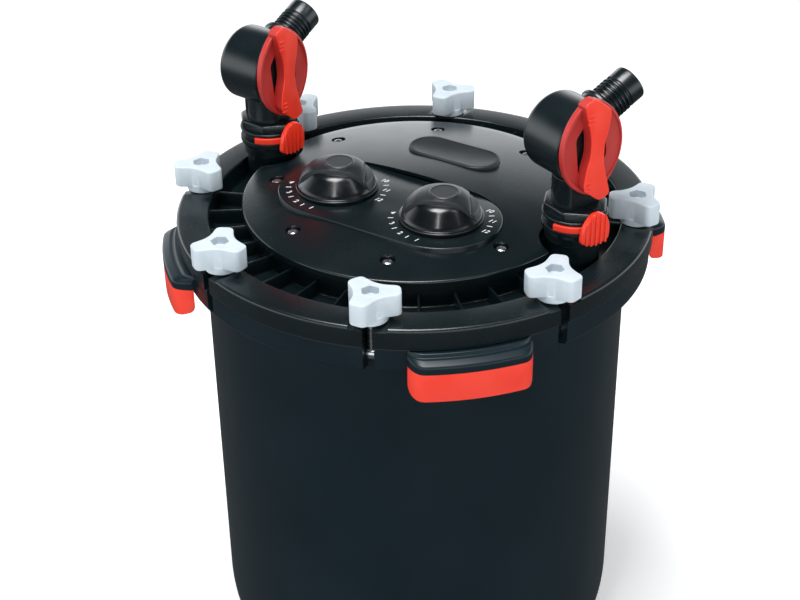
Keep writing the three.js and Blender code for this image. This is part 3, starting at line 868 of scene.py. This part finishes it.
def bar_outline(inset=0.0):
    """Wide at both ends and waisted in the middle, the same when turned half round."""
    half = [(-12.5, 40.5, 3), (-4, 43.2, 4), (12.4, 30, 5), (10, 14, 8), (6.5, 4, 6), (6.5, -12, 8),
            (11, -27, 8), (14, -38.5, 3)]
    made = rounded(half + [(-x, -y, room) for x, y, room in half], closed=True, steps=8)
    return [spot - spot.normalized() * inset for spot in made]


def lever_plate():
    """A lens-shaped plate, sunk inside its rim, with the bar's flanks and two finger hollows."""
    tilt = 5                                 # degrees that the lens leans against the bar
    plate = soften(turned(prism(lens(29.5, 41), 0, 5), tilt), 0.9, 3, 50, flat_edge)
    dish = soften(turned(prism(lens(27.6, 37), 3.2, 12), tilt), 1.2, 3, 50, flat_edge)
    side = rounded([(-15.5, 10, 3), (-6, 21, 2), (-2, 18, 1), (-2, -19, 1), (-12, -19, 3)],
                   closed=True)
    hollows = both_sides(prism(side, -1, 20))
    return join(cut(plate, dish, hollows), prism(bar_outline(0.4), BAR_Z[0], BAR_Z[1] + 0.2))


def lever_bar():
    """The bar's face, with three fine ridges across each end."""
    face = soften(prism(bar_outline(), BAR_Z[1], BAR_Z[2]), 0.6, 3, 50, flat_edge)
    height = (BAR_Z[1] + 0.4, BAR_Z[2] + 0.7)
    ridges = [soften(block((-11, -5.5), (y - 0.6, y + 0.6), height), 0.4)
              for y in (24, 27.5, 31, -24, -27.5, -31)]
    return join(face, together(ridges))


def lever(side):
    body = f"valve_lever_{side}"
    face, middle = lever_face(side), axle_z(side)
    plate = standing(lever_plate(), side, face, middle)
    # The sunken plate takes the red darkened as painted shade; the bar keeps the plain red.
    piece(f"turn_lever_{side}", plate, SHADED_RED, body, body)
    bar = standing(lever_bar(), side, face, middle)
    piece(f"lever_bar_{side}", bar, RED, body, slot="red_plastic")


def release_ring(side):
    """A curved clip in the stem's groove, with a ribbed thumb tab shaped like a leaf."""
    heading = -8                             # degrees from the lever's side to the tab
    clip_start, clip_sweep = -70, 88         # degrees from the tab, and round the stem
    inner, outer, bottom, top = 22.3, 26.9, 28.3, 33.7
    clip = ring(rounded([(inner, bottom, 0.5), (outer, bottom, 0.9), (outer, top, 0.9),
                         (inner, top, 0.5)], closed=True), 40, clip_sweep)
    leaf = rounded([(-13, -10, 2.5), (-11.6, 3, 6), (-3.4, 13.6, 5), (6.5, 13, 5), (12.8, 3, 6),
                    (11.8, -11.4, 4), (-2.6, -14, 6)], closed=True, steps=8)
    tab = soften(prism(leaf, 26, 30.6), 1, 3, 50, flat_edge)
    ribs = [soften(block((x - 0.9, x + 0.9), (-20, 20), (29, 31.8)), 0.6)
            for x in (-8.4, -4.2, 0, 4.2, 8.4)]
    tab = join(tab, common(together(ribs), prism(leaf, 28, 40)))
    tab.transform(facing_out(up=32.6))
    shape = turned(join(turned(clip, clip_start), tidy(tab)), heading)
    shape.transform(valve_frame(side))
    piece(f"thumb_ring_{side}", shape, RED, f"release_ring_{side}", f"release_ring_{side}")


def valves():
    for side in ("right", "left"):
        valve_body(side)
        nozzle(side)
        lever(side)
        release_ring(side)


# ---- Drain valve ----

def drain():
    """A short pipe through the wall with a bonnet on top, and its quarter-turn handle."""
    pipe = turned(revolve(rounded([
        (6, -190, 0.5), (11.6, -190, 1), (12, -187, 0.6), (12, -175.8, 1), (9, -175.6), (9, -160),
        (6, -160)], closed=True), 48, True), 90, "X")
    bonnet = moved(disc(7, 4, 17, 0.8), 0, DRAIN.y)
    spigot = moved(join(pipe, bonnet), z=DRAIN_Z)
    piece("drain_spigot", spigot, BLACK, "vessel_assembly", "drain_valve")
    hub = disc(7, 17.3, 24, 1)
    handle = soften(block((-3, 3), (-5.5, 13), (19, 26)), 1.2, 3)
    shape = moved(join(hub, handle), 0, DRAIN.y, DRAIN_Z)
    piece("drain_lever", shape, RED, "drain_handle", "drain_handle")


# ---- The object ----

canister()
base()
lid()
cover_plate()
dial_panel()
badge()
cover_screws()
dials()
fasteners()
grips()
valves()
drain()
piece("month_print", moved(together(month_marks()), z=RIM_Z + PANEL_TOP), INK, "vessel_assembly",
      slot="knob_plastic")

KEPT = {
    "lid_gasket": RUBBER, "motor_housing": BLACK, "impeller": GREY, "volute_cover": GREY,
    "outlet_riser": GREY, "media_basket_1": GREY, "media_basket_2": GREY, "media_basket_3": GREY,
    "basket_lid": GREY, "filter_foam": FOAM,
}
for node, material in KEPT.items():
    mesh = frame["nodes"][node].data
    mesh.materials.clear()
    mesh.materials.append(material)


# ---- Stage: floor, light and camera ----

def floor():
    half_width = 8                           # metres
    mesh = bpy.data.meshes.new("floor")
    bm = bmesh.new()
    bmesh.ops.create_grid(bm, x_segments=1, y_segments=1, size=half_width)
    bm.to_mesh(mesh)
    bm.free()
    obj = bpy.data.objects.new("floor", mesh)
    bpy.context.scene.collection.objects.link(obj)
    mesh.materials.append(SHEET)
    # Kept out of reflections, so that the dark plastic keeps its depth.
    obj.visible_glossy = False


def sky():
    """A dark room with a bright band above the horizon, which the lid reflects at a low angle."""
    world = bpy.data.worlds.new("room")
    bpy.context.scene.world = world
    world.use_nodes = True
    tree = world.node_tree
    tree.nodes.clear()
    way = add_node(tree, "ShaderNodeTexCoord", {}).outputs["Generated"]
    height = add_node(tree, "ShaderNodeSeparateXYZ", {"Vector": way}).outputs["Z"]
    above = add_node(tree, "ShaderNodeMapRange", {
        "Value": height, "From Min": 0.18, "From Max": 0.52, "To Min": 2.3, "To Max": 0.05},
        interpolation_type="SMOOTHSTEP")
    below = add_node(tree, "ShaderNodeMapRange", {
        "Value": height, "From Min": -0.3, "From Max": 0.0, "To Min": 0.06, "To Max": 1.0},
        interpolation_type="SMOOTHSTEP")
    band = add_node(tree, "ShaderNodeMath", {0: above.outputs[0], 1: below.outputs[0]},
                    operation="MULTIPLY")
    light = add_node(tree, "ShaderNodeBackground", {
        "Color": linear("#F3F7FA"), "Strength": band.outputs[0]})
    add_node(tree, "ShaderNodeOutputWorld", {"Surface": light.outputs[0]})


def softbox(name, spot, target, width, height, power):
    """A soft light of a size in metres and a power in watts, aimed at a point."""
    light = bpy.data.lights.new(name, "AREA")
    light.shape = "RECTANGLE"
    light.size = width
    light.size_y = height
    light.energy = power
    obj = bpy.data.objects.new(name, light)
    obj.location = spot
    obj.rotation_euler = (Vector(target) - Vector(spot)).to_track_quat("-Z", "Y").to_euler()
    bpy.context.scene.collection.objects.link(obj)


def camera():
    """Above the front right, close enough that the base is just out of the frame."""
    spot = Vector((634.4, -981.2, RIM_Z + 620.3))
    azimuth, elevation, roll = radians(33.54), radians(31.43), radians(-0.823)
    back = Vector((sin(azimuth) * cos(elevation), -cos(azimuth) * cos(elevation), sin(elevation)))
    right = (-back).cross(Vector((0, 0, 1))).normalized()
    up = right.cross(-back)
    level = Matrix((right, up, back)).transposed()
    data = bpy.data.cameras.new("camera")
    data.lens = 71.9
    data.sensor_width = 36
    obj = bpy.data.objects.new("camera", data)
    turn = level @ Matrix.Rotation(roll, 3, "Z")
    obj.matrix_world = Matrix.Translation(spot * MM) @ turn.to_4x4()
    bpy.context.scene.collection.objects.link(obj)
    bpy.context.scene.camera = obj


floor()
sky()
softbox("overhead", (-0.05, -0.35, 2.4), (0, 0, 0.4), width=1.0, height=1.0, power=56)
softbox("strip_front", (0.41, -1.13, 2.15), (0, 0, 0.45), width=0.1, height=0.9, power=5)
softbox("strip_right", (1.17, 0.27, 2.15), (0, 0, 0.45), width=0.1, height=0.9, power=3)
camera()
bpy.context.scene.view_settings.view_transform = "Standard"
